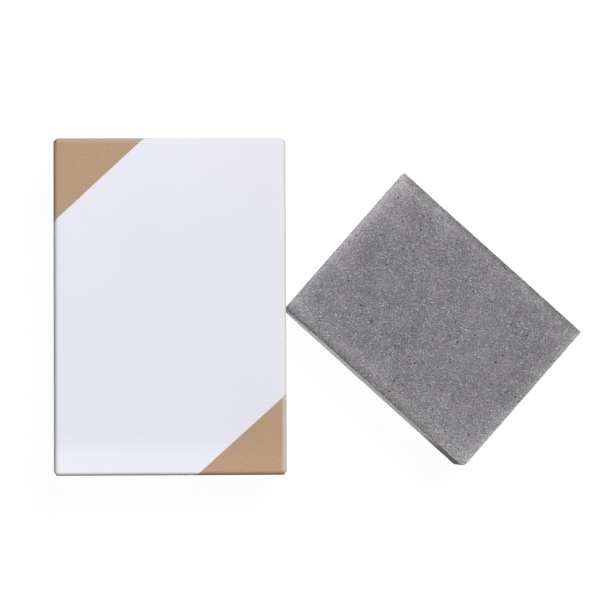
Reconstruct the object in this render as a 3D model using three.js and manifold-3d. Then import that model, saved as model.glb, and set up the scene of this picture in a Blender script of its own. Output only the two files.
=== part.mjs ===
// A suede eraser lying beside its own folding carton.
// The carton is a straight tuck-end box lying on its back panel: both end closures are creased to the front panel and
// tuck in behind the back panel. Every panel and flap of the one board blank is its own piece, parted at the creases.
// Units: millimetres, +Z up. Origin: the middle of the set's footprint, on the table. +X runs from carton to eraser,
// +Y to the carton's top end.
import * as THREE from "three";
import { mergeVertices } from "three/addons/utils/BufferGeometryUtils.js";
import Module from "manifold-3d";

const wasm = await Module();
wasm.setup();

// ---- carton ----
const CARTON_W = 48.2; // outside width, X
const CARTON_H = 70.0; // outside height, Y
const CARTON_D = 20.0; // outside depth, Z
const BOARD = 0.45; // board thickness
const FOLD_R = 0.8; // outside radius of a crease
const CREASE_GAP = 0.05; // half the slit where two pieces meet on a crease
const CARTON_X = -30.86; // carton centre
const ARC_STEPS = 3; // facets in half a crease

// ---- side seam ----
const SEAM_GAP = 0.2; // between the left side panel and the glue flap
const GLUE_FLAP_W = 9.0;
const GLUE_FLAP_END = 3.0; // cut back from the carton's end at the crease
const GLUE_FLAP_TAPER = 3.0; // and this much more at its free edge
const GLUE_T = 0.1;
const GLUE_Z = [2.5, 7.5];
const GLUE_HALF = 27.0;

// ---- end closures ----
const LID_SIDE = 0.35; // closure panel's side edges inside the carton's outside faces
const LID_CORNER = 0.9; // cut off each closure corner at the front crease
const TUCK_GAP = 0.15; // tuck crease above the back panel
const TUCK_TILT = 20.0; // degrees that the tuck flap leans in from the back panel
const TUCK_L = 7.9; // flat length of the tuck flap past its crease
const TUCK_HALF = 22.0; // half width at the crease
const TUCK_TIP_HALF = 20.6; // half width at the free edge
const TUCK_R = 3.0; // free corners

// ---- dust flaps ----
const DUST_GAP = 0.15; // under the closure panel
const DUST_L = 13.5; // length past the crease
const DUST_Z = [3.0, 18.85]; // root, across the carton's depth
const DUST_TAPER = 0.5; // slope of the edge beside the closure's crease
const DUST_CUT = 1.2; // the other edge draws in by this much at the tip
const DUST_R = 2.0; // free corners

// ---- eraser ----
const ERASER_L = 50.0;
const ERASER_W = 37.8;
const ERASER_T = 16.0;
const ERASER_SKEW = 0.9; // degrees out of square, as cut
const ERASER_TURN = -42.2; // degrees about Z
const ERASER_POS = [24.25, -2.9];
const ERASER_CORNERS = [0.7, 1.6, 0.7, 0.7]; // corner radii: left, near, right, far
const ERASER_EDGE = 0.35; // chamfer round the two faces

// ---- colours ----
const WHITE_BOARD = 0xe6e7f2;
const GREY_RUBBER = 0x848285;
const GLUE = 0xdcd7c8;

const HW = CARTON_W / 2;
const HH = CARTON_H / 2;
const RI = FOLD_R - BOARD;
const SLIT = CREASE_GAP / FOLD_R;
const TUCK_Z = BOARD + TUCK_GAP; // tuck crease, lowest
const DUST_Y = HH - BOARD - DUST_GAP; // dust flaps, outer face
const rad = (d) => (d * Math.PI) / 180;

// A closed outline, pushed out along one axis. Points are (x, y), (y, z) or (z, x) for the axes Z, X and Y.
const AXES = {
  x: [new THREE.Vector3(0, 1, 0), new THREE.Vector3(0, 0, 1), new THREE.Vector3(1, 0, 0)],
  y: [new THREE.Vector3(0, 0, 1), new THREE.Vector3(1, 0, 0), new THREE.Vector3(0, 1, 0)],
  z: [new THREE.Vector3(1, 0, 0), new THREE.Vector3(0, 1, 0), new THREE.Vector3(0, 0, 1)],
};
function prism(points, axis, low, high) {
  const shape = new THREE.Shape(points.map(([u, v]) => new THREE.Vector2(u, v)));
  const g = new THREE.ExtrudeGeometry(shape, { depth: high - low, bevelEnabled: false, steps: 1 });
  g.translate(0, 0, low);
  return g.applyMatrix4(new THREE.Matrix4().makeBasis(...AXES[axis]));
}

// Points on an arc, both ends included, angles in radians.
function arc(c, r, from, to, steps = ARC_STEPS) {
  const out = [];
  for (let i = 0; i <= steps; i++) {
    const a = from + ((to - from) * i) / steps;
    out.push([c[0] + r * Math.cos(a), c[1] + r * Math.sin(a)]);
  }
  return out;
}

// The board's section on a crease: an arc about c from the angle `from`, where the flat begins, to `to`, with `tail` of flat board before it.
function crease(c, from, to, tail) {
  const turn = Math.sign(to - from);
  const back = [turn * Math.sin(from) * tail, -turn * Math.cos(from) * tail];
  const outer = arc(c, FOLD_R, from, to);
  const inner = arc(c, RI, to, from);
  return [
    [outer[0][0] + back[0], outer[0][1] + back[1]],
    ...outer,
    ...inner,
    [inner[ARC_STEPS][0] + back[0], inner[ARC_STEPS][1] + back[1]],
  ];
}

// An outline with its corners rounded: [[u, v, radius], ...].
function rounded(corners, steps = 5) {
  const out = [];
  corners.forEach(([u, v, r], i) => {
    const n = corners.length;
    const here = new THREE.Vector2(u, v);
    if (!r) return out.push([u, v]);
    const a = new THREE.Vector2(...corners[(i + n - 1) % n]).sub(here).normalize();
    const b = new THREE.Vector2(...corners[(i + 1) % n]).sub(here).normalize();
    const half = Math.acos(a.dot(b)) / 2;
    const mid = a.clone().add(b).normalize();
    const c = here.clone().addScaledVector(mid, r / Math.sin(half));
    const p = here.clone().addScaledVector(a, r / Math.tan(half)).sub(c);
    const q = here.clone().addScaledVector(b, r / Math.tan(half)).sub(c);
    let sweep = q.angle() - p.angle();
    if (sweep > Math.PI) sweep -= 2 * Math.PI;
    if (sweep < -Math.PI) sweep += 2 * Math.PI;
    for (const e of arc([c.x, c.y], r, p.angle(), p.angle() + sweep, steps)) out.push(e);
  });
  return out;
}

function solid(geometry) {
  const g = geometry.clone();
  g.deleteAttribute("normal");
  g.deleteAttribute("uv");
  const m = mergeVertices(g, 1e-4);
  return new wasm.Manifold(
    new wasm.Mesh({
      numProp: 3,
      vertProperties: new Float32Array(m.attributes.position.array),
      triVerts: new Uint32Array(m.index.array),
    }),
  );
}

// Several overlapping shapes of one piece joined into one geometry.
function join(...geometries) {
  const m = geometries.map(solid).reduce((a, b) => a.add(b)).getMesh();
  const v = new Float32Array(m.numVert * 3);
  for (let i = 0; i < m.numVert; i++) v.set(m.vertProperties.subarray(i * m.numProp, i * m.numProp + 3), i * 3);
  const g = new THREE.BufferGeometry();
  g.setAttribute("position", new THREE.BufferAttribute(v, 3));
  g.setIndex(new THREE.BufferAttribute(new Uint32Array(m.triVerts), 1));
  g.computeVertexNormals();
  return g;
}

// The same piece on the carton's other side.
function mirrored(geometry, x, y) {
  const g = geometry.index ? geometry.toNonIndexed() : geometry.clone();
  g.applyMatrix4(new THREE.Matrix4().makeScale(x, y, 1));
  if (x * y < 0) {
    const p = g.attributes.position;
    for (let i = 0; i < p.count; i += 3) {
      const b = new THREE.Vector3().fromBufferAttribute(p, i + 1);
      const c = new THREE.Vector3().fromBufferAttribute(p, i + 2);
      p.setXYZ(i + 1, c.x, c.y, c.z);
      p.setXYZ(i + 2, b.x, b.y, b.z);
    }
  }
  g.computeVertexNormals();
  return g;
}

const swap = (points) => points.map(([x, z]) => [z, x]); // an (x, z) section for the axis Y
const TAIL = 1.2;
const A = rad(45);

// ---- sleeve ----
const END = HH - FOLD_R - 0.1; // where the long creases of the front panel stop
const CORNER = HW - FOLD_R - 0.1; // where the creases across its ends stop
const SIDE_END = DUST_Y - FOLD_R; // where the side panels end and their dust flaps begin

function frontPanel() {
  const z = CARTON_D - FOLD_R;
  const right = crease([HW - FOLD_R, z], rad(90), A + SLIT, TAIL);
  const across = crease([HH - FOLD_R, z], rad(90), A + SLIT, TAIL);
  const side = prism(swap(right), "y", -END, END);
  const top = prism(across, "x", -CORNER, CORNER);
  const plate = prism(
    [
      [-(HW - FOLD_R), -(HH - FOLD_R)],
      [HW - FOLD_R, -(HH - FOLD_R)],
      [HW - FOLD_R, HH - FOLD_R],
      [-(HW - FOLD_R), HH - FOLD_R],
    ],
    "z",
    CARTON_D - BOARD,
    CARTON_D,
  );
  return join(plate, side, mirrored(side, -1, 1), top, mirrored(top, 1, -1));
}

// The short crease at the end of a side panel, where its dust flap begins.
function dustRoot() {
  const c = [HW - FOLD_R, DUST_Y - FOLD_R];
  return prism(crease(c, 0, A - SLIT, TAIL), "z", DUST_Z[0], DUST_Z[1]);
}

function rightSidePanel() {
  const hi = CARTON_D - FOLD_R;
  const plate = prism(
    swap([
      [HW - BOARD, FOLD_R],
      [HW, FOLD_R],
      [HW, hi],
      [HW - BOARD, hi],
    ]),
    "y",
    -SIDE_END,
    SIDE_END,
  );
  const front = prism(swap(crease([HW - FOLD_R, hi], 0, A - SLIT, TAIL)), "y", -SIDE_END, SIDE_END);
  const back = prism(swap(crease([HW - FOLD_R, FOLD_R], 0, -A + SLIT, TAIL)), "y", -SIDE_END, SIDE_END);
  const root = dustRoot();
  return join(plate, front, back, root, mirrored(root, 1, -1));
}

// The left side panel ends in a cut edge at the back: the glue flap lies behind it.
function leftSidePanel() {
  const hi = CARTON_D - FOLD_R;
  const plate = prism(
    swap([
      [-HW, 0],
      [-HW + BOARD, 0],
      [-HW + BOARD, hi],
      [-HW, hi],
    ]),
    "y",
    -SIDE_END,
    SIDE_END,
  );
  const front = prism(swap(crease([-HW + FOLD_R, hi], rad(180), rad(135) + SLIT, TAIL)), "y", -SIDE_END, SIDE_END);
  const root = mirrored(dustRoot(), -1, 1);
  return join(plate, front, root, mirrored(root, 1, -1));
}

const SEAM_X = -HW + BOARD + SEAM_GAP; // the glue flap's outer face

function backPanel() {
  const y = HH - 0.15;
  const plate = prism(
    [
      [SEAM_X + FOLD_R, -y],
      [HW - FOLD_R, -y],
      [HW - FOLD_R, y],
      [SEAM_X + FOLD_R, y],
    ],
    "z",
    0,
    BOARD,
  );
  const right = prism(swap(crease([HW - FOLD_R, FOLD_R], rad(-90), -A - SLIT, TAIL)), "y", -END, END);
  const g = HH - GLUE_FLAP_END;
  const left = prism(swap(crease([SEAM_X + FOLD_R, FOLD_R], rad(-90), rad(-135) + SLIT, TAIL)), "y", -g, g);
  return join(plate, right, left);
}

function glueFlap() {
  const g = HH - GLUE_FLAP_END;
  const bend = prism(swap(crease([SEAM_X + FOLD_R, FOLD_R], rad(-180), rad(-135) - SLIT, TAIL)), "y", -g, g);
  const free = g - GLUE_FLAP_TAPER;
  const plate = prism(
    [
      [-g, FOLD_R],
      [g, FOLD_R],
      [free, FOLD_R + GLUE_FLAP_W],
      [-free, FOLD_R + GLUE_FLAP_W],
    ],
    "x",
    SEAM_X,
    SEAM_X + BOARD,
  );
  return join(bend, plate);
}

function seamAdhesive() {
  const x = -HW + BOARD + (SEAM_GAP - GLUE_T) / 2;
  return prism(
    [
      [-GLUE_HALF, GLUE_Z[0]],
      [GLUE_HALF, GLUE_Z[0]],
      [GLUE_HALF, GLUE_Z[1]],
      [-GLUE_HALF, GLUE_Z[1]],
    ],
    "x",
    x,
    x + GLUE_T,
  );
}

// ---- end closures, drawn at the carton's top end ----
const TUCK_C = [HH - FOLD_R, TUCK_Z + FOLD_R]; // the tuck crease's centre
const TUCK_MID = -rad(45 + TUCK_TILT / 2);

function closurePanel() {
  const hi = CARTON_D - FOLD_R;
  const w = HW - LID_SIDE;
  const plate = prism(
    [
      [TUCK_C[1], -w],
      [hi - LID_CORNER, -w],
      [hi, -CORNER],
      [hi, CORNER],
      [hi - LID_CORNER, w],
      [TUCK_C[1], w],
    ],
    "y",
    HH - BOARD,
    HH,
  );
  const front = prism(crease([HH - FOLD_R, hi], 0, A - SLIT, TAIL), "x", -CORNER, CORNER);
  const back = prism(crease(TUCK_C, 0, TUCK_MID + SLIT, TAIL), "x", -TUCK_HALF, TUCK_HALF);
  return join(plate, front, back);
}

function tuckFlap() {
  const out = -rad(90 + TUCK_TILT); // the outer face's direction
  const bend = prism(crease(TUCK_C, out, TUCK_MID - SLIT, TAIL), "x", -TUCK_HALF, TUCK_HALF);
  // The flat, drawn as (x, y) with its crease along X, then laid back from the crease.
  const plate = prism(
    rounded([
      [TUCK_HALF, 0, 0],
      [TUCK_TIP_HALF, -TUCK_L, TUCK_R],
      [-TUCK_TIP_HALF, -TUCK_L, TUCK_R],
      [-TUCK_HALF, 0, 0],
    ]),
    "z",
    -FOLD_R,
    -RI,
  );
  plate.applyMatrix4(new THREE.Matrix4().makeRotationX(-rad(TUCK_TILT)));
  plate.translate(0, TUCK_C[0], TUCK_C[1]);
  return join(bend, plate);
}

// The flap on the right side panel: it lies just under the closure panel, with its crease along Z.
function dustFlap() {
  const x = HW - FOLD_R;
  const bend = prism(crease([x, DUST_Y - FOLD_R], rad(90), A + SLIT, TAIL), "z", DUST_Z[0] + 0.5, DUST_Z[1] - 0.5);
  const plate = prism(
    rounded([
      [DUST_Z[0], x, 0],
      [DUST_Z[1], x, 0],
      [DUST_Z[1] - DUST_TAPER * DUST_L, x - DUST_L, DUST_R],
      [DUST_Z[0] + DUST_CUT, x - DUST_L, DUST_R],
    ]),
    "y",
    DUST_Y - BOARD,
    DUST_Y,
  );
  return join(bend, plate);
}

// ---- eraser ----
function eraserBlock() {
  const s = Math.sin(rad(ERASER_SKEW)) * (ERASER_W / 2);
  const h = Math.cos(rad(ERASER_SKEW)) * (ERASER_W / 2);
  const l = ERASER_L / 2;
  const [left, near, right, far] = ERASER_CORNERS;
  const outline = rounded([
    [-l + s, -h, left],
    [l + s, -h, near],
    [l - s, h, right],
    [-l - s, h, far],
  ]);
  const shape = new THREE.Shape(outline.map(([u, v]) => new THREE.Vector2(u, v)));
  const g = new THREE.ExtrudeGeometry(shape, {
    depth: ERASER_T - 2 * ERASER_EDGE,
    steps: 1,
    bevelEnabled: true,
    bevelThickness: ERASER_EDGE,
    bevelSize: ERASER_EDGE,
    bevelOffset: -ERASER_EDGE,
    bevelSegments: 1,
  });
  return g.translate(0, 0, ERASER_EDGE);
}

function piece(name, geometry, color, roughness) {
  const mesh = new THREE.Mesh(geometry, new THREE.MeshStandardMaterial({ color, roughness, metalness: 0 }));
  mesh.name = name;
  return mesh;
}

const carton = new THREE.Group();
carton.position.x = CARTON_X;
const board = (name, geometry) => carton.add(piece(name, geometry, WHITE_BOARD, 0.6));
board("front_panel", frontPanel());
board("back_panel", backPanel());
board("left_side_panel", leftSidePanel());
board("right_side_panel", rightSidePanel());
board("glue_flap", glueFlap());
carton.add(piece("seam_adhesive", seamAdhesive(), GLUE, 0.5));
const lid = closurePanel();
const tuck = tuckFlap();
const dust = dustFlap();
board("top_closure_panel", lid);
board("top_tuck_flap", tuck);
board("top_left_dust_flap", mirrored(dust, -1, 1));
board("top_right_dust_flap", dust);
board("bottom_closure_panel", mirrored(lid, 1, -1));
board("bottom_tuck_flap", mirrored(tuck, 1, -1));
board("bottom_left_dust_flap", mirrored(dust, -1, -1));
board("bottom_right_dust_flap", mirrored(dust, 1, -1));

const eraser = new THREE.Group();
eraser.position.set(ERASER_POS[0], ERASER_POS[1], 0);
eraser.rotation.z = rad(ERASER_TURN);
eraser.add(piece("eraser_block", eraserBlock(), GREY_RUBBER, 0.9));

const part = new THREE.Group();
part.name = "suede_eraser";
part.add(carton, eraser);

export default part;
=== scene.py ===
import math

import bmesh
import bpy
import numpy as np
from mathutils import Matrix, Vector


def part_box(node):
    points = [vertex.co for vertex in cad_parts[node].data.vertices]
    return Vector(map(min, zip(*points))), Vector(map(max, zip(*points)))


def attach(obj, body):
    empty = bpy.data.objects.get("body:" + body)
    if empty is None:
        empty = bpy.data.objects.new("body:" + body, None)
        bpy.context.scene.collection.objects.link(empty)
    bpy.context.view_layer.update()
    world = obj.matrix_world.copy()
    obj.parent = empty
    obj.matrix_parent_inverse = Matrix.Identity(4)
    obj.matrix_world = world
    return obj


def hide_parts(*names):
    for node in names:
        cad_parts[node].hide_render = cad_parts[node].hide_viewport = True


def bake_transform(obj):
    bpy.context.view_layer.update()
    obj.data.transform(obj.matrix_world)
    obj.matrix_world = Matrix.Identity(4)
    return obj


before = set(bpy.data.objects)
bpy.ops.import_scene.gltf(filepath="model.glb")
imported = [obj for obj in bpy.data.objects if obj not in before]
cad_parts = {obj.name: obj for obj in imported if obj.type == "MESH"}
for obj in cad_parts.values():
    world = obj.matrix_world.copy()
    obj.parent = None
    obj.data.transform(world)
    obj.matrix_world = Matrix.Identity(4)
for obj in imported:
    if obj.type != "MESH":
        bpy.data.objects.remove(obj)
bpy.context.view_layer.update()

MM = 0.001

# ---------------------------------------------------------------- sizes, in mm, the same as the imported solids
CX = -30.86                       # middle of the carton
R = 0.8                           # outer radius of a crease
RF = 1.05                         # the same of the creases round the front, which are rolled softer
T = 0.45                          # board
HW, HH, D = 24.1, 35.0, 20.0      # half width, half height and depth of the carton
FLAT_X, FLAT_Y = HW - R, HH - R   # where the creases at the back and the ends turn
FX, FY, FZ = HW - RF, HH - RF, D - RF   # where the creases round the front start
SIDE_END = 33.6
BACK_END = 34.85
GLUE_X = -22.65
LID_HALF = 23.75
TUCK_Z = 1.4
TUCK_TURN = math.radians(110)
TUCK_L = 7.9
DUST_Z = (3.0, 18.1)
DUST_L = 13.5
ARC, ARC_F = R * math.pi / 2, RF * math.pi / 2

ERASER_POS = (24.25, -2.9)
ERASER_TURN = math.radians(-42.2)
EA, EB, ET = 25.0, 18.898, 16.0   # half length, half width and thickness of the block
ESKEW = 0.297 / 18.898

# the tan corners: straight borders on the front, carried level round the sides and ends
TAN_UP, TAN_LOW = (35.02, 0.9245, -5.24), (-18.32, 0.9004, 23.98)
WRAP_X, WRAP_Y = FX + ARC_F, FY + ARC_F


# ---------------------------------------------------------------- repeatable noise on arrays
def lattice(i, j, k, seed):
    h = (i.astype(np.int64) * 73856093) ^ (j.astype(np.int64) * 19349663) ^ (k.astype(np.int64) * 83492791) ^ (seed * 2654435761)
    h = (h ^ (h >> 13)) * 1274126177 & 0x7FFFFFFF
    h = (h ^ (h >> 16)) * 668265263 & 0x7FFFFFFF
    return (h & 0xFFFFF) / float(0xFFFFF) * 2 - 1


def noise(p, size, seed):
    q = np.asarray(p, float) / size
    b = np.floor(q)
    f = q - b
    f = f * f * f * (f * (f * 6 - 15) + 10)
    b = b.astype(np.int64)
    out = np.zeros(len(q))
    for dx in (0, 1):
        for dy in (0, 1):
            for dz in (0, 1):
                w = (f[:, 0] if dx else 1 - f[:, 0]) * (f[:, 1] if dy else 1 - f[:, 1]) * (f[:, 2] if dz else 1 - f[:, 2])
                out += w * lattice(b[:, 0] + dx, b[:, 1] + dy, b[:, 2] + dz, seed)
    return out


def smooth(x, lo, hi):
    t = np.clip((np.asarray(x, float) - lo) / (hi - lo), 0, 1)
    return t * t * (3 - 2 * t)


# ---------------------------------------------------------------- node materials
class Nodes:
    def __init__(self, name):
        self.mat = bpy.data.materials.new(name)
        self.mat.use_nodes = True
        self.tree = self.mat.node_tree
        self.tree.nodes.clear()
        self.out = self.tree.nodes.new("ShaderNodeOutputMaterial")
        self.bsdf = self.tree.nodes.new("ShaderNodeBsdfPrincipled")
        self.link(self.bsdf.outputs[0], self.out.inputs["Surface"])

    def link(self, a, b):
        self.tree.links.new(a, b)

    def put(self, value, socket):
        if isinstance(value, bpy.types.NodeSocket):
            self.link(value, socket)
        else:
            socket.default_value = value

    def attribute(self, name, output="Fac"):
        n = self.tree.nodes.new("ShaderNodeAttribute")
        n.attribute_name = name
        return n.outputs[output]

    def coords(self):
        return self.tree.nodes.new("ShaderNodeTexCoord").outputs["Object"]

    def noise(self, vector, scale, detail=2.0, rough=0.5, distortion=0.0):
        n = self.tree.nodes.new("ShaderNodeTexNoise")
        self.link(vector, n.inputs["Vector"])
        n.inputs["Scale"].default_value = scale
        n.inputs["Detail"].default_value = detail
        n.inputs["Roughness"].default_value = rough
        n.inputs["Distortion"].default_value = distortion
        return n.outputs["Fac"]

    def cells(self, vector, scale, feature="F1", output="Distance", randomness=1.0, dimensions="3D"):
        n = self.tree.nodes.new("ShaderNodeTexVoronoi")
        n.voronoi_dimensions = dimensions
        n.feature = feature
        self.link(vector, n.inputs["Vector"])
        n.inputs["Scale"].default_value = scale
        n.inputs["Randomness"].default_value = randomness
        return n.outputs[output]

    def math(self, op, a, b=0.0, c=0.0, clamp=False):
        n = self.tree.nodes.new("ShaderNodeMath")
        n.operation = op
        n.use_clamp = clamp
        for v, s in zip((a, b, c), n.inputs):
            self.put(v, s)
        return n.outputs[0]

    def range(self, value, lo, hi, a=0.0, b=1.0, kind="LINEAR"):
        n = self.tree.nodes.new("ShaderNodeMapRange")
        n.interpolation_type = kind
        n.clamp = True
        self.put(value, n.inputs["Value"])
        for k, v in (("From Min", lo), ("From Max", hi), ("To Min", a), ("To Max", b)):
            self.put(v, n.inputs[k])
        return n.outputs["Result"]

    def mix(self, factor, a, b, blend="MIX"):
        n = self.tree.nodes.new("ShaderNodeMix")
        n.data_type = "RGBA"
        n.blend_type = blend
        n.clamp_factor = True
        self.put(factor, n.inputs[0])
        self.put(a, n.inputs[6])
        self.put(b, n.inputs[7])
        return n.outputs[2]

    def scale_colour(self, colour, factor):
        n = self.tree.nodes.new("ShaderNodeVectorMath")
        n.operation = "SCALE"
        self.put(colour, n.inputs[0])
        self.put(factor, n.inputs["Scale"])
        return n.outputs[0]

    def tint(self, colour, factors):
        n = self.tree.nodes.new("ShaderNodeVectorMath")
        n.operation = "MULTIPLY"
        self.put(colour, n.inputs[0])
        n.inputs[1].default_value = factors
        return n.outputs[0]

    def rgb(self, colour):
        n = self.tree.nodes.new("ShaderNodeRGB")
        n.outputs[0].default_value = (*colour, 1.0)
        return n.outputs[0]

    def bump(self, height, distance, strength=1.0, normal=None):
        n = self.tree.nodes.new("ShaderNodeBump")
        n.inputs["Strength"].default_value = strength
        n.inputs["Distance"].default_value = distance
        self.link(height, n.inputs["Height"])
        if normal is not None:
            self.link(normal, n.inputs["Normal"])
        return n.outputs[0]


def srgb(r, g, b):
    def f(c):
        c /= 255.0
        return c / 12.92 if c <= 0.04045 else ((c + 0.055) / 1.055) ** 2.4
    return (f(r), f(g), f(b))


LIGHT = 1.0                                         # light that reaches a level face, so colours come out as read
def albedo(r, g, b):
    return tuple(min(0.95, c / LIGHT) for c in srgb(r, g, b))


def printed_board():
    m = Nodes("coated_print")
    sheet = m.attribute("sheet", "Vector")
    fine = m.noise(sheet, 2.6, 3.0, 0.6)
    broad = m.noise(sheet, 0.05, 2.0, 0.5)
    grain = m.noise(sheet, 2.5, 2.0, 0.75)
    edge = m.math("MULTIPLY", m.math("SUBTRACT", m.noise(sheet, 6.0, 1.0), 0.5), 0.06)
    up = m.range(m.math("ADD", m.attribute("tan_up"), edge), -0.025, 0.025)
    low = m.range(m.math("ADD", m.attribute("tan_low"), edge), -0.025, 0.025)
    tan_mask = m.math("MAXIMUM", up, low)
    white = m.rgb(albedo(227.4, 229.6, 242.3))
    white = m.scale_colour(white, m.range(broad, 0.3, 0.7, 0.988, 1.012))
    white = m.scale_colour(white, m.range(fine, 0.2, 0.8, 0.99, 1.01))
    tan = m.rgb(albedo(178, 149, 121))
    tan = m.scale_colour(tan, m.range(grain, 0.25, 0.75, 0.87, 1.13))
    tan = m.scale_colour(tan, m.range(broad, 0.3, 0.7, 0.985, 1.015))
    # its inks are printed as fine dots that don't fall together
    dots = m.tree.nodes.new("ShaderNodeTexNoise")
    dots.inputs["Scale"].default_value = 5.2
    dots.inputs["Detail"].default_value = 1.0
    m.link(sheet, dots.inputs["Vector"])
    ink = m.tree.nodes.new("ShaderNodeVectorMath")
    ink.operation = "MULTIPLY_ADD"
    m.link(dots.outputs["Color"], ink.inputs[0])
    ink.inputs[1].default_value = (0.36, 0.29, 0.47)
    ink.inputs[2].default_value = (0.82, 0.855, 0.765)
    printed = m.tree.nodes.new("ShaderNodeVectorMath")
    printed.operation = "MULTIPLY"
    m.link(tan, printed.inputs[0])
    m.link(ink.outputs[0], printed.inputs[1])
    tan = printed.outputs[0]
    # painted light and shade: the board is painted a little brighter towards its two ends and a little darker towards
    # its right side
    axes = m.tree.nodes.new("ShaderNodeSeparateXYZ")
    m.link(sheet, axes.inputs[0])
    u, v = axes.outputs[0], axes.outputs[1]
    across, upper = m.range(u, -22.0, 22.0), m.range(v, 6.0, 34.0, 0.0, 1.0, "SMOOTHSTEP")
    white = m.mix(across, white, m.tint(white, (0.9695, 0.955, 0.961)))
    white = m.mix(upper, white, m.tint(white, (1.047, 1.031, 1.020)))
    tan = m.scale_colour(tan, m.range(across, 0.0, 1.0, 1.0, 0.978))
    tan = m.scale_colour(tan, m.range(upper, 0.0, 1.0, 1.0, 1.03))
    # and painted light and shade along the four folds round the front: painted shade on the right and left folds and
    # where the top fold starts, painted light further round the two end folds
    white = m.scale_colour(white, m.range(v, 33.85, 34.35, 1.0, 0.93, "SMOOTHSTEP"))
    white = m.scale_colour(white, m.range(u, 22.95, 23.3, 1.0, 0.965))
    painted_shade_left_fold = m.math("MULTIPLY", m.range(u, -23.3, -23.9), m.range(u, -26.0, -24.9))
    white = m.scale_colour(white, m.range(painted_shade_left_fold, 0.0, 1.0, 1.0, 0.80))
    painted_light_top_fold = m.math("MULTIPLY", m.range(v, 34.45, 35.0), m.range(v, 36.6, 35.6, 0.0, 0.95))
    painted_light_low_fold = m.math("MULTIPLY", m.range(v, -33.9, -34.2), m.range(v, -35.0, -34.7, 0.0, 0.85))
    white = m.mix(m.math("MAXIMUM", painted_light_top_fold, painted_light_low_fold), white, (0.93, 0.932, 0.955, 1.0))
    tan = m.scale_colour(tan, m.range(v, 33.85, 34.6, 1.0, 0.945, "SMOOTHSTEP"))
    tan = m.scale_colour(tan, m.range(painted_light_low_fold, 0.0, 0.85, 1.0, 1.12))
    base = m.mix(tan_mask, white, tan)
    # painted warm light: the print is brighter and warmer towards the lower end
    painted_warm_light_low = m.range(v, -25.5, -33.0, 0.0, 1.0, "SMOOTHSTEP")
    base = m.mix(painted_warm_light_low, base, m.tint(base, (1.113, 1.098, 1.063)))
    # ink cracked and rubbed pale along the folds, with a painted sheen as well on the right and top front folds, which
    # are made the palest
    fold = m.attribute("fold")
    rub = m.range(m.noise(sheet, 1.9, 3.0, 0.65), 0.38, 0.68)
    wear_and_sheen = m.math("MULTIPLY", fold, m.range(rub, 0.0, 1.0, 0.42, 0.56))
    base = m.mix(wear_and_sheen, base, (*albedo(227, 225, 222), 1.0))
    # painted shade on the outer part of the bottom fold
    painted_shade_low_edge = m.math("MULTIPLY", m.range(v, -34.4, -34.95), m.range(v, -36.3, -35.7))
    base = m.scale_colour(base, m.range(painted_shade_low_edge, 0.0, 1.0, 1.0, 0.86))
    # painted shade: a dark spot where the creases meet at one corner stands for the shadowed hole there
    du, dv = m.math("ADD", u, 23.95), m.math("SUBTRACT", v, 34.5)
    away = m.math("SQRT", m.math("ADD", m.math("MULTIPLY", du, du), m.math("MULTIPLY", dv, dv)))
    base = m.mix(m.range(away, 0.36, 0.18, 0.0, 0.92), base, (*albedo(46, 40, 34), 1.0))
    m.link(base, m.bsdf.inputs["Base Color"])
    m.link(m.range(fine, 0.2, 0.8, 0.47, 0.58), m.bsdf.inputs["Roughness"])
    m.bsdf.inputs["Specular IOR Level"].default_value = 0.28
    fibre = m.noise(sheet, 5.5, 3.0, 0.65)
    b = m.bump(fibre, 0.000012, 0.55)
    b = m.bump(m.noise(sheet, 0.32, 2.0, 0.5), 0.00003, 0.4, b)
    m.link(b, m.bsdf.inputs["Normal"])
    return m.mat


def raw_board():
    m = Nodes("uncoated_inside")
    sheet = m.attribute("sheet", "Vector")
    stretch = m.tree.nodes.new("ShaderNodeVectorMath")
    stretch.operation = "MULTIPLY"
    m.link(sheet, stretch.inputs[0])
    stretch.inputs[1].default_value = (2.2, 0.5, 1.0)
    fibre = m.noise(stretch.outputs[0], 1.6, 4.0, 0.65, 0.6)
    fleck = m.range(m.noise(sheet, 1.3, 2.0, 0.6), 0.66, 0.74)
    base = m.mix(m.range(fibre, 0.3, 0.72), (*albedo(206, 200, 190), 1.0), (*albedo(226, 222, 213), 1.0))
    base = m.mix(m.math("MULTIPLY", fleck, 0.35), base, (*albedo(168, 158, 144), 1.0))
    m.link(base, m.bsdf.inputs["Base Color"])
    m.link(m.range(fibre, 0.2, 0.8, 0.78, 0.92), m.bsdf.inputs["Roughness"])
    m.bsdf.inputs["Specular IOR Level"].default_value = 0.2
    m.link(m.bump(fibre, 0.00003, 0.6), m.bsdf.inputs["Normal"])
    return m.mat


def cut_board():
    m = Nodes("cut_edge")
    co = m.coords()
    ply = m.noise(co, 5200.0, 3.0, 0.6)
    base = m.mix(m.range(ply, 0.3, 0.7), (*albedo(196, 189, 178), 1.0), (*albedo(232, 228, 221), 1.0))
    m.link(base, m.bsdf.inputs["Base Color"])
    m.bsdf.inputs["Roughness"].default_value = 0.9
    m.bsdf.inputs["Specular IOR Level"].default_value = 0.15
    m.link(m.bump(ply, 0.00004, 0.7), m.bsdf.inputs["Normal"])
    return m.mat


def glue():
    m = Nodes("dried_glue")
    co = m.coords()
    n = m.noise(co, 900.0, 3.0, 0.6)
    base = m.mix(m.range(n, 0.3, 0.7), (*albedo(214, 206, 186), 1.0), (*albedo(232, 228, 214), 1.0))
    m.link(base, m.bsdf.inputs["Base Color"])
    m.link(m.range(n, 0.2, 0.8, 0.3, 0.45), m.bsdf.inputs["Roughness"])
    m.link(m.bump(n, 0.00003, 0.5), m.bsdf.inputs["Normal"])
    return m.mat


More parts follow.
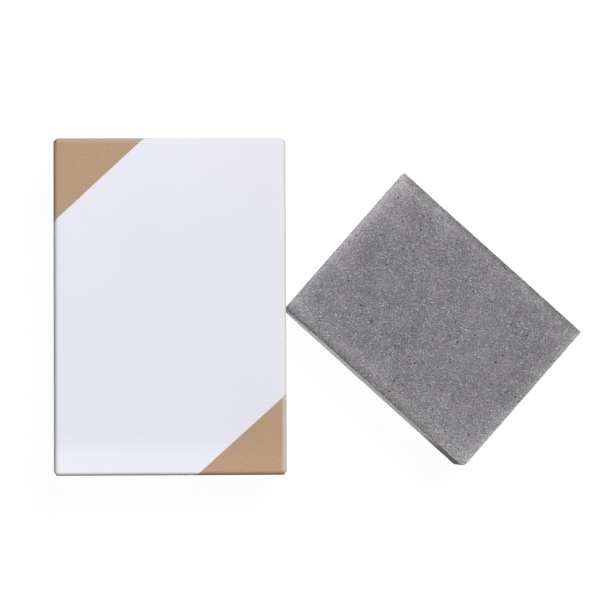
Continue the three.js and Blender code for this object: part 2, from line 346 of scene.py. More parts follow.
def abrasive_rubber():
    m = Nodes("abrasive_rubber")
    co = m.coords()
    skin = m.attribute("skin", "Vector")
    broad = m.noise(co, 130.0, 3.0, 0.55)
    patch = m.noise(co, 520.0, 3.0, 0.6)
    grain = m.noise(co, 3500.0, 1.0, 0.6)
    speck = m.cells(co, 3400.0)
    cell = m.cells(co, 3400.0, output="Color")
    grey = m.rgb(albedo(125.6, 122.9, 126.3))
    tone = m.math("MULTIPLY", m.attribute("tone"), m.range(broad, 0.3, 0.7, 0.89, 1.11))
    tone = m.math("MULTIPLY", tone, m.range(patch, 0.3, 0.7, 0.93, 1.07))
    tone = m.math("MULTIPLY", tone, m.range(m.noise(co, 1150.0, 2.0, 0.6), 0.3, 0.7, 0.93, 1.07))
    tone = m.math("MULTIPLY", tone, m.range(grain, 0.28, 0.72, 0.55, 1.45))
    colour = m.scale_colour(grey, tone)
    # the painted reflection tint: bluish on the rim facing the carton, warmer on the pale side
    painted_reflection_tint = m.attribute("painted_reflection_tint")
    for way, factors in ((1.0, (0.995, 0.965, 1.075)), (-1.0, (0.995, 1.03, 0.93))):
        tinted = m.tree.nodes.new("ShaderNodeVectorMath")
        tinted.operation = "MULTIPLY"
        m.link(colour, tinted.inputs[0])
        tinted.inputs[1].default_value = factors
        colour = m.mix(m.range(painted_reflection_tint, 0.0, way), colour, tinted.outputs[0])
    # grains of the abrasive that catch the light, and darker grains between them
    sep = m.tree.nodes.new("ShaderNodeSeparateColor")
    m.link(cell, sep.inputs[0])
    bright = m.math("MULTIPLY", m.range(sep.outputs[0], 0.78, 0.95), m.range(speck, 0.58, 0.2))
    colour = m.mix(m.math("MULTIPLY", bright, 0.68), colour, (*albedo(211, 217, 220), 1.0))
    dark = m.math("MULTIPLY", m.range(sep.outputs[1], 0.86, 0.98), m.range(speck, 0.5, 0.2))
    colour = m.mix(m.math("MULTIPLY", dark, 0.34), colour, (*albedo(84, 82, 84), 1.0))
    # open pores: one in most cells of 4.3 mm, and finer ones in some cells of 2.4 mm. They and the pits of the relief
    # are coloured dark below: painted shade in them
    def pores(scale, sizes, kept, depth):
        away, tint = m.cells(skin, scale, dimensions="2D"), m.cells(skin, scale, output="Color", dimensions="2D")
        pick = m.tree.nodes.new("ShaderNodeSeparateColor")
        m.link(tint, pick.inputs[0])
        spot = m.range(m.math("DIVIDE", away, m.range(pick.outputs[1], 0.0, 1.0, *sizes)), 1.0, 0.5, 0.0, 1.0)
        return m.math("MULTIPLY", spot, m.range(pick.outputs[0], *kept, 0.0, depth))

    hole = m.math("MAXIMUM", pores(0.232, (0.031, 0.055), (0.25, 0.55), 0.95), pores(0.41, (0.034, 0.056), (0.52, 0.8), 0.8))
    hole = m.math("MAXIMUM", hole, m.math("MULTIPLY", m.attribute("pit"), 0.6))
    # painted shade: the pores and pits are darkened
    colour = m.mix(hole, colour, (*albedo(44, 42, 44), 1.0))
    # a few short scratches
    axes = m.tree.nodes.new("ShaderNodeSeparateXYZ")
    m.link(skin, axes.inputs[0])
    for u, v, turn, long in ((-17.6, -9.5, 84.0, 1.2), (22.4, 16.6, 88.0, 1.1), (6.5, 3.0, 20.0, 1.6)):
        c, n = math.cos(math.radians(turn)), math.sin(math.radians(turn))
        du, dv = m.math("SUBTRACT", axes.outputs[0], u), m.math("SUBTRACT", axes.outputs[1], v)
        along = m.math("ABSOLUTE", m.math("ADD", m.math("MULTIPLY", du, c), m.math("MULTIPLY", dv, n)))
        off = m.math("ABSOLUTE", m.math("SUBTRACT", m.math("MULTIPLY", dv, c), m.math("MULTIPLY", du, n)))
        line = m.math("MULTIPLY", m.range(off, 0.12, 0.05), m.range(along, long, long * 0.7))
        colour = m.mix(m.math("MULTIPLY", line, 0.35), colour, (*albedo(205, 204, 206), 1.0))
    m.link(colour, m.bsdf.inputs["Base Color"])
    m.link(m.range(grain, 0.25, 0.75, 0.9, 0.72), m.bsdf.inputs["Roughness"])
    m.bsdf.inputs["Specular IOR Level"].default_value = 0.3
    b = m.bump(m.math("SUBTRACT", grain, m.math("MULTIPLY", hole, 1.5)), 0.00009, 0.8)
    m.link(b, m.bsdf.inputs["Normal"])
    return m.mat


PRINT, RAW, CUT, GLUE, RUBBER = printed_board(), raw_board(), cut_board(), glue(), abrasive_rubber()


# ---------------------------------------------------------------- board pieces
def tan_marks(u, v, back=False):
    """How far inside each tan corner a point of the print lies, in mm."""
    k0, k1, k2 = TAN_UP
    l0, l1, l2 = TAN_LOW
    if back:
        edge_up = k0 + k1 * (-WRAP_X - k2)
        edge_low = l0 + l1 * (WRAP_X - l2)
        return v - (edge_up + k1 * (u + HW)), (edge_low + l1 * (u - HW)) - v
    uu, vv = np.clip(u, -WRAP_X, WRAP_X), np.clip(v, -WRAP_Y, WRAP_Y)
    return vv - (k0 + k1 * (uu - k2)), (l0 + l1 * (uu - l2)) - vv


def sheet_object(name, outer, inner, sheet, marks, fold):
    """A closed sheet of board from two grids of points, with printed, inside and cut faces."""
    n, m = outer.shape[:2]
    count = n * m
    points = np.concatenate([outer.reshape(-1, 3), inner.reshape(-1, 3)]) * MM
    grid = np.arange(count).reshape(n, m)
    quads, kinds = [], []

    def add(a, b, c, d, kind):
        for q in zip(a.ravel().tolist(), b.ravel().tolist(), c.ravel().tolist(), d.ravel().tolist()):
            quads.append(q)
            kinds.append(kind)

    add(grid[:-1, :-1], grid[1:, :-1], grid[1:, 1:], grid[:-1, 1:], 0)
    g2 = grid + count
    add(g2[:-1, 1:], g2[1:, 1:], g2[1:, :-1], g2[:-1, :-1], 1)
    for line in (grid[0, :], grid[-1, :][::-1], grid[:, 0][::-1], grid[:, -1]):
        add(line[:-1], line[1:], line[1:] + count, line[:-1] + count, 2)
    me = bpy.data.meshes.new(name)
    me.from_pydata(points.tolist(), [], quads)
    for mat in (PRINT, RAW, CUT):
        me.materials.append(mat)
    me.polygons.foreach_set("material_index", np.array(kinds, np.int32))
    me.polygons.foreach_set("use_smooth", np.ones(len(quads), bool))
    both = lambda a: np.concatenate([a.reshape(count, -1), a.reshape(count, -1)])
    a = me.attributes.new("sheet", "FLOAT_VECTOR", "POINT")
    a.data.foreach_set("vector", both(sheet).astype(np.float32).ravel())
    for key, values in (("tan_up", marks[0]), ("tan_low", marks[1]), ("fold", fold)):
        a = me.attributes.new(key, "FLOAT", "POINT")
        a.data.foreach_set("value", both(np.broadcast_to(values, (n, m)).astype(float)).astype(np.float32).ravel())
    bm = bmesh.new()
    bm.from_mesh(me)
    bmesh.ops.recalc_face_normals(bm, faces=bm.faces[:])
    for e in bm.edges:
        if len({f.material_index for f in e.link_faces}) > 1:
            e.smooth = False
    bm.to_mesh(me)
    bm.free()
    me.update()
    o = bpy.data.objects.new(name, me)
    bpy.context.scene.collection.objects.link(o)
    return o


def vec(*cols):
    return np.stack(np.broadcast_arrays(*cols), axis=-1).astype(float)


def corner_turn(a):
    """How far round the corner, in radians of plan, each front crease runs to meet the other, by its angle from the front."""
    return math.radians(43.6) * (1 - 0.13 * smooth(a, math.radians(42), math.radians(90)))


def corner_end(a):
    """Where the long front crease stops, measured along it round the corner."""
    return FY + RF * np.sin(a) * corner_turn(a)


def side_levels(low):
    """Heights up a side panel, close together under the front crease, where the panel's end draws back from the corner."""
    return np.concatenate([np.linspace(low, FZ - 1.2, 13), FZ - np.array([0.8, 0.68, 0.56, 0.44, 0.32, 0.2, 0.1, 0.0])])


def side_end(z):
    return SIDE_END + (float(corner_end(math.pi / 2)) - SIDE_END) * float(smooth(z, FZ - 0.8, FZ))


def sleeve():
    cols = []          # x, z, normal x, normal z, print u, end y, fold, bow, side of a front crease, is back

    def col(x, z, nx, nz, u, end, fold=0.0, bow=0.0, back=False, wrap=0):
        cols.append((x, z, nx, nz, u, end, fold, bow, wrap, back))

    ang = np.linspace(0, math.pi / 2, 15)
    for z in side_levels(0)[:-1]:
        w = z / FZ
        col(-HW, z, -1, 0, -WRAP_X - (FZ - z), side_end(z), 0, -0.10 * math.sin(math.pi * w), wrap=-1)
    for a in ang[::-1][:-1]:
        col(-FX - RF * math.sin(a), FZ + RF * math.cos(a), -math.sin(a), math.cos(a), -FX - RF * a, float(corner_end(a)), 0.10 * math.sin(2 * a), wrap=-1)
    for x in np.linspace(-FX, FX, 33)[:-1]:
        col(x, D, 0, 1, x, FY)
    # the right front fold is made palest: rubbed ink with a painted sheen
    for a in ang[:-1]:
        col(FX + RF * math.sin(a), FZ + RF * math.cos(a), math.sin(a), math.cos(a), FX + RF * a, float(corner_end(a)), float(smooth(a, 0.0, 0.62)), wrap=1)
    for z in side_levels(R)[::-1][:-1]:
        w = (z - R) / (FZ - R)
        col(HW, z, 1, 0, WRAP_X + (FZ - z), side_end(z), 0, -0.10 * math.sin(math.pi * w), wrap=1)
    u0 = WRAP_X + FZ - R
    for a in ang[:-1]:
        end = SIDE_END + (BACK_END - SIDE_END) * float(smooth(a, 0.25, 1.35))
        col(FLAT_X + R * math.cos(a), R - R * math.sin(a), math.cos(a), -math.sin(a), u0 + R * a, end, math.sin(2 * a), 0, True)
    for x in np.linspace(FLAT_X, GLUE_X + 0.25, 28):
        col(x, 0, 0, -1, u0 + ARC + FLAT_X - x, BACK_END, 0, 0, True)
    u1 = u0 + ARC + FLAT_X - GLUE_X
    for a in ang:
        end = 32.0 if a > 0 else 32.4
        col(GLUE_X - R * math.sin(a), R - R * math.cos(a), -math.sin(a), -math.cos(a), u1 + R * a, end, math.sin(2 * a), 0, True)
    for z in np.linspace(R, 9.8, 8)[1:]:
        col(GLUE_X - R, z, -1, 0, u1 + ARC + z - R, 32.0 - 3.0 * (z - R) / 9.0, 0, 0, True)
    near = np.array([0.974, 0.980, 0.9835, 0.987, 0.9905, 0.994, 0.997])
    rows = np.sort(np.concatenate([np.linspace(-1, 1, 57), near, -near]))
    c = np.array([k[:9] for k in cols], float)
    back = np.array([k[9] for k in cols])
    X, Z, NX, NZ, U, E, F, BOW, W = (c[:, i:i + 1] for i in range(9))
    Y = E * rows[None, :]
    bow = BOW * (1 - rows[None, :] ** 2)
    X2, Z2 = X + NX * bow, Z + NZ * bow
    one = np.ones_like(Y)

    def wrapped(radius):
        # past the end of the flat, a front crease turns with the corner
        r = np.maximum(radius * np.abs(NX), 1e-6) * one
        turn = np.maximum(np.abs(Y) - FY, 0) / np.maximum(RF * np.abs(NX), 1e-6)
        on = (W != 0) & (turn > 0)
        return np.where(on, W * (FX + r * np.cos(turn)), X2 - NX * (RF - radius)), np.where(on, np.sign(Y) * (FY + r * np.sin(turn)), Y)

    xo, yo = wrapped(RF)
    xi, yi = wrapped(RF - T)
    outer = vec(xo + CX, yo, Z2 * one)
    inner = vec(xi + CX, yi, (Z2 - NZ * T) * one)
    sheet = vec(U * one, Y, 0 * one)
    up, low = tan_marks(U * one, Y)
    bu, bl = tan_marks(X * one, Y, True)
    up = np.where(back[:, None], bu, up)
    low = np.where(back[:, None], bl, low)
    glued = (U > u1 + 0.2) * one > 0
    up, low = np.where(glued, -5.0, up), np.where(glued, -5.0, low)
    o = sheet_object("carton_sleeve", outer, inner, sheet, (up, low), F * one)
    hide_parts("front_panel", "back_panel", "left_side_panel", "right_side_panel", "glue_flap")
    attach(o, "sleeve")
    return o


def end_pieces(end, s):
    """The closure panel, its tuck flap and two dust flaps at one end, with the creases that join them. s is 1 at the top."""
    across = np.linspace(-1, 1, 49)[None, :]
    # crease between the front panel and the closure panel
    a = np.linspace(0, math.pi / 2, 17)[:, None]
    near = np.array([0.974, 0.980, 0.985, 0.990, 0.995, 1.0])
    x = (FX + RF * np.sin(a) * corner_turn(a)) * np.concatenate([-near[::-1], np.linspace(-0.968, 0.968, 45), near])[None, :]
    one = np.ones_like(x)
    turn = np.maximum(np.abs(x) - FX, 0) / np.maximum(RF * np.sin(a), 1e-6)
    straight = np.minimum(np.abs(x), FX)

    def ring(radius):
        r = radius * np.sin(a)
        return vec(np.sign(x) * (straight + r * np.sin(turn)) + CX, s * (FY + r * np.cos(turn)), (FZ + radius * np.cos(a)) * one)

    v = FY + RF * a
    # the top front fold is made pale: rubbed ink with a painted sheen
    fold = 0.42 * smooth(a, 0.0, 0.9) if s > 0 else 0.10 * np.sin(2 * a)
    o = sheet_object(end + "_closure_crease", ring(RF), ring(RF - T), vec(x, s * v * one, 0 * one), tan_marks(x, s * v * one), fold * one)
    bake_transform(o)
    # closure panel
    z = np.concatenate([np.linspace(FZ, 17.6, 7), np.linspace(16.6, 3.2, 12), np.linspace(2.9, TUCK_Z, 7)])[:, None]
    shoulder = np.clip((2.9 - z) / 1.5, 0, 1)
    head = FX + RF * float(corner_turn(math.pi / 2))
    half = head + (LID_HALF - head) * smooth(FZ - z, 0, 1.2) - 1.4 * (1 - np.sqrt(np.clip(1 - shoulder ** 2, 0, 1)))
    x = half * across
    one = np.ones_like(x)
    depth = FZ - z
    # its two upper corners follow the crease round
    turn = np.maximum(np.abs(x) - FX, 0) / RF
    curl = 1 - smooth(depth, 0, 1.6)
    drop = RF * (1 - np.cos(turn)) * curl
    shift = np.sign(x) * RF * (turn - np.sin(turn)) * curl
    bow = -0.08 * np.sin(math.pi * depth / (FZ - TUCK_Z)) * (1 - across ** 2)
    v = s * (WRAP_Y + depth) * one
    o = sheet_object(end + "_closure_panel_board", vec(x - shift + CX, s * (HH + bow - drop), z * one),
                     vec(x - shift - np.sign(x) * T * np.sin(turn) * curl + CX, s * (HH - T * np.cos(turn * curl) + bow - drop), z * one),
                     vec(x, v, 0 * one), tan_marks(x, v), 0 * one)
    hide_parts(end + "_closure_panel")
    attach(o, end + "_closure")
    # crease between the closure panel and the tuck flap
    a = np.linspace(0, TUCK_TURN, 17)[:, None]
    half = 22.35 - 0.35 * smooth(a, 0, 0.6)
    x = half * across
    one = np.ones_like(x)
    y, z = FLAT_Y + R * np.cos(a), TUCK_Z - R * np.sin(a)
    yi, zi = FLAT_Y + (R - T) * np.cos(a), TUCK_Z - (R - T) * np.sin(a)
    v0 = WRAP_Y + FZ - TUCK_Z
    v = s * (v0 + R * a) * one
    o = sheet_object(end + "_tuck_crease", vec(x + CX, s * y * one, z * one), vec(x + CX, s * yi * one, zi * one),
                     vec(x, v, 0 * one), tan_marks(x, v), np.sin(math.pi * a / TUCK_TURN) * one)
    ty, tz = FLAT_Y + R * math.cos(TUCK_TURN), TUCK_Z - R * math.sin(TUCK_TURN)
    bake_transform(o)
    # tuck flap, with rounded corners
    d = np.concatenate([np.linspace(0, TUCK_L - 3.0, 7), TUCK_L - 3.0 + 3.0 * np.sin(np.linspace(0, math.pi / 2, 11)[1:])])[:, None]
    tip = np.clip((d - (TUCK_L - 3.0)) / 3.0, 0, 1)
    half = 22.0 - 1.4 * d / TUCK_L - 3.0 * (1 - np.sqrt(np.clip(1 - tip ** 2, 0, 1)))
    x = half * across
    one = np.ones_like(x)
    dy, dz = -math.sin(TUCK_TURN), -math.cos(TUCK_TURN)
    ny, nz = math.cos(TUCK_TURN), -math.sin(TUCK_TURN)
    y, z = ty + dy * d, tz + dz * d
    v = s * (v0 + R * TUCK_TURN + d) * one
    o = sheet_object(end + "_tuck_flap_board", vec(x + CX, s * y * one, z * one), vec(x + CX, s * (y - T * ny) * one, (z - T * nz) * one),
                     vec(x, v, 0 * one), tan_marks(x, v), 0 * one)
    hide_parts(end + "_tuck_flap")
    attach(o, end + "_tuck")
    # dust flaps, folded in from the side panels
    for side, sx in (("left", -1), ("right", 1)):
        up = np.linspace(0, 1, 25)[None, :]
        a = np.linspace(0, math.pi / 2, 15)[:, None]
        z = DUST_Z[0] + (DUST_Z[1] - DUST_Z[0]) * up
        x, y = FLAT_X + R * np.cos(a), SIDE_END + R * np.sin(a)
        xi, yi = FLAT_X + (R - T) * np.cos(a), SIDE_END + (R - T) * np.sin(a)
        one = np.ones_like(x * z)
        none = (-5.0 * one, -5.0 * one)
        sheet = vec(sx * (WRAP_X + FZ - z) * one, s * (SIDE_END + R * a) * one, 0 * one)
        side_u = sx * (WRAP_X + FZ - z) * one
        marks = tan_marks(side_u, np.full_like(one, s * SIDE_END))
        bleed = R * a * one - 1.2
        marks = tuple(np.minimum(k, -bleed) for k in marks)
        o = sheet_object(f"{end}_{side}_dust_crease", vec(sx * x * one + CX, s * y * one, z * one), vec(sx * xi * one + CX, s * yi * one, z * one),
                         sheet, marks, np.sin(2 * a) * one)
        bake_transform(o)
        d = np.concatenate([np.linspace(0, DUST_L - 2.0, 10), DUST_L - 2.0 + 2.0 * np.sin(np.linspace(0, math.pi / 2, 10)[1:])])[:, None]
        tip = 2.0 * (1 - np.sqrt(np.clip(1 - np.clip((d - (DUST_L - 2.0)) / 2.0, 0, 1) ** 2, 0, 1)))
        lo = DUST_Z[0] + 1.2 * d / DUST_L + tip
        hi = DUST_Z[1] - 0.5 * d - tip
        z = lo + (hi - lo) * up
        one = np.ones_like(z)
        x = (FLAT_X - d) * one
        curl = 0.0 * d
        y = SIDE_END + R - curl
        sheet = vec(sx * (WRAP_X + FZ - z), s * (SIDE_END + ARC + d) * one, 0 * one)
        o = sheet_object(f"{end}_{side}_dust_flap_board", vec(sx * x + CX, s * y * one, z), vec(sx * x + CX, s * (y - T) * one, z),
                         sheet, (-5.0 * one, -5.0 * one), 0 * one)
        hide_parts(f"{end}_{side}_dust_flap")
        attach(o, f"{end}_{side}_dust")


sleeve()
end_pieces("top", 1)
end_pieces("bottom", -1)


def seam():
    """The film of glue between the side panel and the glue flap, pressed out unevenly to its edges."""
    lo, hi = (np.array(v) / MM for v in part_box("seam_adhesive"))
    s, t = np.linspace(0, 1, 81)[:, None], np.linspace(0, 1, 17)[None, :]

    def uneven(along, size, most, seed):
        q = along.ravel() / size
        line = np.stack([q, 0 * q, 0 * q], 1)
        return (most * (0.5 + 0.4 * noise(line, 1.0, seed) + 0.1 * noise(line, 0.31, seed + 1))).reshape(along.shape)

    long, tall = s * (hi[1] - lo[1]), t * (hi[2] - lo[2])
    y0, y1 = lo[1] + uneven(tall, 2.6, 1.4, 41), hi[1] - uneven(tall, 2.6, 1.4, 43)
    z0, z1 = lo[2] + uneven(long, 3.4, 0.7, 45), hi[2] - uneven(long, 3.4, 0.7, 47)
    y, z = y0 + s * (y1 - y0), z0 + t * (z1 - z0)
    rim = np.minimum(np.minimum(s, 1 - s) * (hi[1] - lo[1]), np.minimum(t, 1 - t) * (hi[2] - lo[2]))
    full = 0.25 + 0.75 * np.sqrt(np.clip(1 - (1 - np.clip(rim / 0.6, 0, 1)) ** 2, 0, 1))
    mid, thick = (lo[0] + hi[0]) / 2, (hi[0] - lo[0]) / 2
    one = np.ones_like(y)
    none = (-5.0 * one, -5.0 * one)
    o = sheet_object("seam_glue_film", vec(mid - thick * full, y, z), vec(mid + thick * full, y, z), vec(y, z, 0 * one), none, 0 * one)
    o.data.materials.clear()
    o.data.materials.append(GLUE)
    o.data.polygons.foreach_set("material_index", np.zeros(len(o.data.polygons), np.int32))
    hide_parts("seam_adhesive")
    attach(o, "sleeve")


seam()


# ---------------------------------------------------------------- eraser block
def eraser():
    def lines(half, step, close):
        inner = np.linspace(-half + close[-1], half - close[-1], int(round((2 * half - 2 * close[-1]) / step)) + 1)
        left = -half + np.array([0.0, *close[:-1]])
        return np.concatenate([left, inner, -left[::-1]])

    near = (0.09, 0.19, 0.31, 0.46)
    la, lb, lz = lines(EA, 0.27, near), lines(EB, 0.27, near), lines(ET / 2, 0.27, near)
    na, nb, nz = len(la), len(lb), len(lz)
    shell = np.zeros((na, nb, nz), bool)
    shell[[0, -1], :, :] = True
    shell[:, [0, -1], :] = True
    shell[:, :, [0, -1]] = True
    index = np.full(shell.shape, -1, np.int64)
    index[shell] = np.arange(shell.sum())
    i, j, k = np.nonzero(shell)
    a, b, c = la[i], lb[j], lz[k]

    def face(g, flip):
        q = np.stack([g[:-1, :-1], g[1:, :-1], g[1:, 1:], g[:-1, 1:]], axis=-1).reshape(-1, 4)
        return q[:, ::-1] if flip else q

    sides = (face(index[:, :, -1], False), face(index[:, :, 0], True), face(index[-1, :, :], False),
             face(index[0, :, :], True), face(index[:, -1, :], True), face(index[:, 0, :], False))
    quads = np.concatenate(sides)
    # how far each point lies from the four sides and from the two faces
    ea0, ea1, eb0, eb1 = EA + a, EA - a, EB + b, EB - b
    ez = ET / 2 - np.abs(c)
    flat = np.stack([a, b, c], 1)
    # rounded edges, softer and nicked here and there
    soft = 0.27 + 0.06 * noise(flat, 6.0, 11) + 0.06 * noise(flat, 1.7, 12)
    core = np.stack([np.clip(a, -EA + soft, EA - soft), np.clip(b, -EB + soft, EB - soft), np.clip(c, -ET / 2 + soft, ET / 2 - soft)], 1)
    out = flat - core
    length = np.linalg.norm(out, axis=1, keepdims=True)
    unit = np.divide(out, length, out=np.zeros_like(out), where=length > 1e-9)
    p = core + unit * soft[:, None]
    # rounded upright corners, the nearest one softer
    for sa, sb, rc in ((-1, -1, 0.45), (1, -1, 1.25), (1, 1, 0.4), (-1, 1, 0.4)):
        da, db = sa * p[:, 0] - (EA - rc), sb * p[:, 1] - (EB - rc)
        zone = (da > 0) & (db > 0)
        size = np.maximum(da, db) / np.maximum(np.hypot(da, db), 1e-9)
        p[:, 0] = np.where(zone, sa * (EA - rc + da * size), p[:, 0])
        p[:, 1] = np.where(zone, sb * (EB - rc + db * size), p[:, 1])
    # relief: slight waves of the moulded faces, pores and torn grain, chipped edges; only inwards
    edge = np.sort(np.stack([np.minimum(ea0, ea1), np.minimum(eb0, eb1), ez], 1), axis=1)[:, 1]
    sink = 0.05 + 0.05 * noise(p, 14.0, 21) + 0.018 * noise(p, 2.4, 22) + 0.016 * noise(p, 0.8, 23)
    nick = smooth(noise(p, 1.5, 24) + 0.5 * noise(p, 0.7, 25), 0.52, 1.0) * smooth(edge, 0.9, 0.0)
    sink += 0.22 * nick
    rng = np.random.default_rng(7)
    pit = np.zeros(len(p))
    for which, count in ((2, 8), (5, 8), (0, 4), (1, 4), (3, 3), (4, 3)):
        pa, pb, pc = rng.uniform(-EA + 0.8, EA - 0.8, count), rng.uniform(-EB + 0.8, EB - 0.8, count), rng.uniform(-ET / 2 + 0.8, ET / 2 - 0.8, count)
        pr = rng.uniform(0.15, 0.24, count)
        for n in range(count):
            q = np.array([pa[n], pb[n], pc[n]])
            q[which % 3] = (EA, EB, ET / 2)[which % 3] * (1 if which in (2, 0, 1) else -1)
            dist = np.linalg.norm(flat - q, axis=1)
            pit = np.maximum(pit, np.clip(1.6 - dist / pr[n], 0, 1))
    sink += 0.20 * pit
    p = p - unit * sink[:, None]
    p[:, 2] = np.where(c <= -ET / 2 + 1e-6, np.maximum(p[:, 2], -ET / 2), p[:, 2])
    # tone: paler towards the rims, as in the photo, each side in its own way: partly scuffed rubber, partly painted
    # light. Painted shade makes a dark line right along one long edge and darkens the very corner beside the carton; a
    # darker line runs along the other long edge, and the top is paler round two other corners
    top = c > ET / 2 - 0.02
    bottom = c < -ET / 2 + 0.02
    wob = 1 + 0.35 * noise(flat, 5.0, 31)
    rim_tl = (0.44 + 0.60 * smooth(b, -15, 0) - 0.10 * smooth(b, 4, 14)) * np.exp(-(np.maximum(ea0 - 0.1, 0) / (1.6 * wob)) ** 1.1)
    rim_rb = 0.70 * np.exp(-(np.maximum(ea1 - 0.1, 0) / (0.85 * wob)) ** 1.1)
    rim_tr = 0.24 * np.exp(-((eb1 - 1.55 * wob) / 0.8) ** 2) - 0.15 * smooth(eb1, 1.0, 0.1) + (0.045 + 0.08 * smooth(ea0, 35, 5)) * np.exp(-((eb1 - 2.9) / 1.4) ** 2)
    rim_lb = 0.20 * np.exp(-((eb0 - 2.1 * wob) / 1.2) ** 2) - 0.23 * np.exp(-(eb0 / 0.65) ** 1.3) * smooth(ea1, 5.0, 17.0) + 0.24 * np.exp(-(eb0 / 0.45) ** 2) * smooth(ea1, 30.0, 8.0)
    rim_lb -= 0.12 * np.exp(-(eb0 / 0.65) ** 2) * smooth(ea0, 8.0, 2.0)
    at_t = np.exp(-(ea0 ** 2 + eb1 ** 2) / 9.5 ** 2)
    at_b = np.exp(-(ea1 ** 2 + eb0 ** 2) / 10.0 ** 2)
    at_l = 0.04 * np.exp(-(ea0 ** 2 + eb0 ** 2) / 9.0 ** 2) - 0.40 * np.exp(-(ea0 ** 2 + eb0 ** 2) / 2.0 ** 2)
    tone = 1 + rim_tl + rim_rb + rim_tr + rim_lb + 0.28 * at_t + 0.29 * at_b + at_l
    # a painted bluish reflection of the white carton on the rim that faces it
    painted_reflection_tint = 0.9 * np.exp(-(ea0 / 1.8) ** 1.2) * np.exp(-((b + 1.0) / 8.0) ** 2) * top
    side = 1.3 + 0.14 * noise(flat, 3.0, 33) - 0.15 * smooth(ez, 1.4, 0.2)
    # one long side is painted paler: painted light, as if lit from that side; it is darker towards its rounded corner
    painted_light_side = smooth(eb0, 0.6, 0.0)
    darker_to_corner = painted_light_side * smooth(ea1 + 1.5 * noise(flat, 3.0, 34) + 2.2 * smooth(c, 3.0, 7.0), 12.0, 5.5)
    side = np.minimum(side * (1 + 0.95 * painted_light_side) * (1 - 0.70 * darker_to_corner), 2.4)
    # painted light lifts that side near the corner where the carton shades it; its upper part there is darker
    by_carton = painted_light_side * smooth(ea0, 4.5, 1.5)
    side = side * (1 + 0.4 * by_carton) * (1 - 0.38 * painted_light_side * smooth(ea0, 15.0, 6.0) * smooth(c, 2.5, 6.0))
    # on that side the painted tint goes warmer, against the bluish light the white carton throws on it
    painted_reflection_tint = np.where(top | bottom, painted_reflection_tint, -painted_light_side * (1 - darker_to_corner) * (0.55 + 0.45 * smooth(ea0, 7.0, 3.0)))
    tone = np.where(top | bottom, tone, side)
    tone = np.clip(tone * (1 + 0.25 * nick), 0.2, 3.2)

    # out of square, as cut, a little less so towards the near side
    x, y, z = p[:, 0] - ESKEW * p[:, 1] - 0.004 * (EB - p[:, 1]), p[:, 1], p[:, 2] + ET / 2
    ca, sa_ = math.cos(ERASER_TURN), math.sin(ERASER_TURN)
    world = np.stack([ca * x - sa_ * y + ERASER_POS[0], sa_ * x + ca * y + ERASER_POS[1], np.clip(z, 0, ET)], 1) * MM
    me = bpy.data.meshes.new("eraser")
    me.from_pydata(world.tolist(), [], quads.tolist())
    me.materials.append(RUBBER)
    me.polygons.foreach_set("use_smooth", np.ones(len(quads), bool))
    for key, values in (("tone", tone), ("painted_reflection_tint", painted_reflection_tint), ("pit", np.clip(pit * 1.4, 0, 1))):
        at = me.attributes.new(key, "FLOAT", "POINT")
        at.data.foreach_set("value", values.astype(np.float32))
    bm = bmesh.new()
    bm.from_mesh(me)
    bmesh.ops.recalc_face_normals(bm, faces=bm.faces[:])
    bm.to_mesh(me)
    bm.free()
    me.update()
    # flat coordinates on each of the six faces, in mm
    group = np.repeat(np.arange(6), [len(q) for q in sides])
    loops = np.empty(len(me.loops), np.int64)
    me.loops.foreach_get("vertex_index", loops)
    start = np.empty(len(me.polygons), np.int64)
    total = np.empty(len(me.polygons), np.int64)
    me.polygons.foreach_get("loop_start", start)
    me.polygons.foreach_get("loop_total", total)
    g = np.empty(len(loops), np.int64)
    g[np.repeat(start, total) + np.tile(np.arange(4), len(start))] = np.repeat(group, total)
    la_, lb_, lc_ = a[loops], b[loops], c[loops]
    skin = np.zeros((len(loops), 3), np.float32)
    skin[:, 0] = np.where(g < 2, la_, np.where(g < 4, lb_, la_)) + 200.0 * g
    skin[:, 1] = np.where(g < 2, lb_, lc_)
    at = me.attributes.new("skin", "FLOAT_VECTOR", "CORNER")
    at.data.foreach_set("vector", skin.ravel())
    o = bpy.data.objects.new("eraser_grain", me)
    bpy.context.scene.collection.objects.link(o)
    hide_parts("eraser_block")
    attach(o, "eraser")
    return o


block = eraser()


# ---------------------------------------------------------------- floor, light and camera
def stage():
    """A white floor with a wall far off all round, and a sheet under it that throws light up on the sides."""
    def sheet(name, points, faces, base, glow, away, **seen):
        me = bpy.data.meshes.new(name)
        me.from_pydata(points, [], faces)
        m = Nodes(name + "_white")
        m.bsdf.inputs["Base Color"].default_value = (base, base, base, 1)
        m.bsdf.inputs["Roughness"].default_value = 0.8
        m.bsdf.inputs["Specular IOR Level"].default_value = 0.0
        m.bsdf.inputs["Emission Color"].default_value = (1, 1, 1, 1)
        m.bsdf.inputs["Emission Strength"].default_value = glow
        if away:
            far = m.tree.nodes.new("ShaderNodeVectorMath")
            far.operation = "LENGTH"
            m.link(m.coords(), far.inputs[0])
            m.link(m.range(far.outputs["Value"], 0.25, 1.6, glow, away), m.bsdf.inputs["Emission Strength"])
        me.materials.append(m.mat)
        o = bpy.data.objects.new(name, me)
        bpy.context.scene.collection.objects.link(o)
        for key, value in seen.items():
            setattr(o, key, value)

    def square(s, z):
        return [(-s, -s, z), (s, -s, z), (s, s, z), (-s, s, z)]

    ring = [(2.8 * math.cos(k * math.pi / 32), 2.8 * math.sin(k * math.pi / 32)) for k in range(64)]
    sheet("floor", square(3.0, -0.00003), [(0, 1, 2, 3)], 0.045, 0.972, 1.0, visible_diffuse=False, visible_glossy=False, visible_shadow=False)
    sheet("bounce", square(3.0, -0.0003), [(0, 1, 2, 3)], 0.0, 0.22, None, visible_camera=False, visible_glossy=False, visible_shadow=False)
    sheet("wall", [(x, y, -0.00003) for x, y in ring] + [(x, y, 2.6) for x, y in ring],
          [((k + 1) % 64, k, k + 64, (k + 1) % 64 + 64) for k in range(64)], 0.0, 1.0, None, visible_diffuse=False, visible_glossy=False, visible_shadow=False)


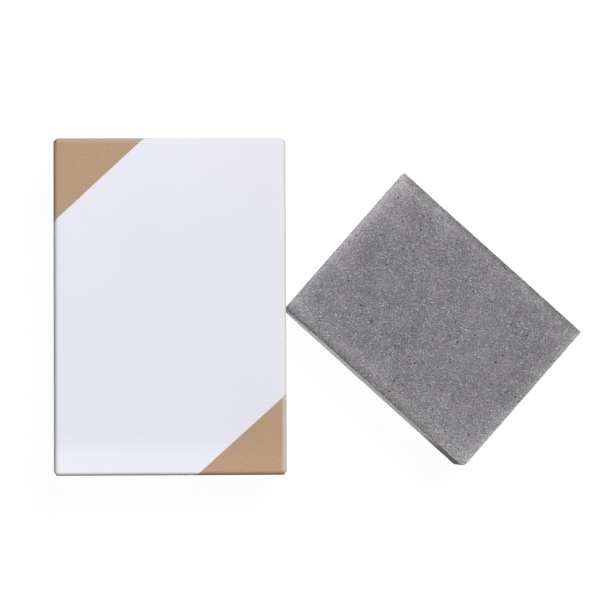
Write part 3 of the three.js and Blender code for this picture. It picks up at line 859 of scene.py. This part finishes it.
def area(name, place, aim, size, power, colour=(1, 1, 1)):
    d = bpy.data.lights.new(name, "AREA")
    d.shape = "RECTANGLE"
    d.size, d.size_y = size
    d.energy = power
    d.color = colour
    o = bpy.data.objects.new(name, d)
    bpy.context.scene.collection.objects.link(o)
    o.location = place
    o.rotation_mode = "QUATERNION"
    o.rotation_quaternion = (Vector(aim) - Vector(place)).to_track_quat("-Z", "Y")
    o.visible_camera = False
    return o


def light():
    w = bpy.data.worlds.new("studio")
    bpy.context.scene.world = w
    w.use_nodes = True
    bg = w.node_tree.nodes["Background"]
    bg.inputs["Color"].default_value = (1.0, 1.0, 1.0, 1)
    bg.inputs["Strength"].default_value = 0.12
    area("key", (1.03, 1.4, 3.04), (0, 0, 0.01), (1.4, 1.4), 130.0, (1.0, 0.997, 0.99))
    # through the table, as on a light table: for the sides that the key leaves dark, but not the creases that face down
    down = bpy.data.collections.new("creases_facing_down")
    for name in ("top_tuck_crease", "bottom_tuck_crease"):
        down.objects.link(bpy.data.objects[name])
    for item in down.collection_objects:
        item.light_linking.link_state = "EXCLUDE"
    for name, place, power in (("under_left", (-0.45, -0.375, -1.38), 32.0), ("under_right", (0.45, -0.30, -1.38), 20.0)):
        o = area(name, place, (0, 0, 0.01), (0.5, 0.5), power)
        o.visible_glossy = False
        o.light_linking.receiver_collection = down


def camera():
    d = bpy.data.cameras.new("camera")
    d.sensor_width = 36.0
    d.lens = 3281.0 / 600.0 * 36.0
    d.clip_start, d.clip_end = 0.01, 20.0
    o = bpy.data.objects.new("camera", d)
    bpy.context.scene.collection.objects.link(o)
    eye, aim, roll = Vector((-0.0300, -0.02555, 0.700)), Vector((-0.003511, 0.001616, 0.010)), 0.0046
    f = (aim - eye).normalized()
    r = f.cross(Vector((math.sin(roll), math.cos(roll), 0))).normalized()
    u = r.cross(f)
    o.matrix_world = Matrix(((r.x, u.x, -f.x, eye.x), (r.y, u.y, -f.y, eye.y), (r.z, u.z, -f.z, eye.z), (0, 0, 0, 1)))
    bpy.context.scene.camera = o


stage()
light()
camera()
bpy.context.scene.view_settings.view_transform = "Standard"
bpy.context.scene.view_settings.look = "None"
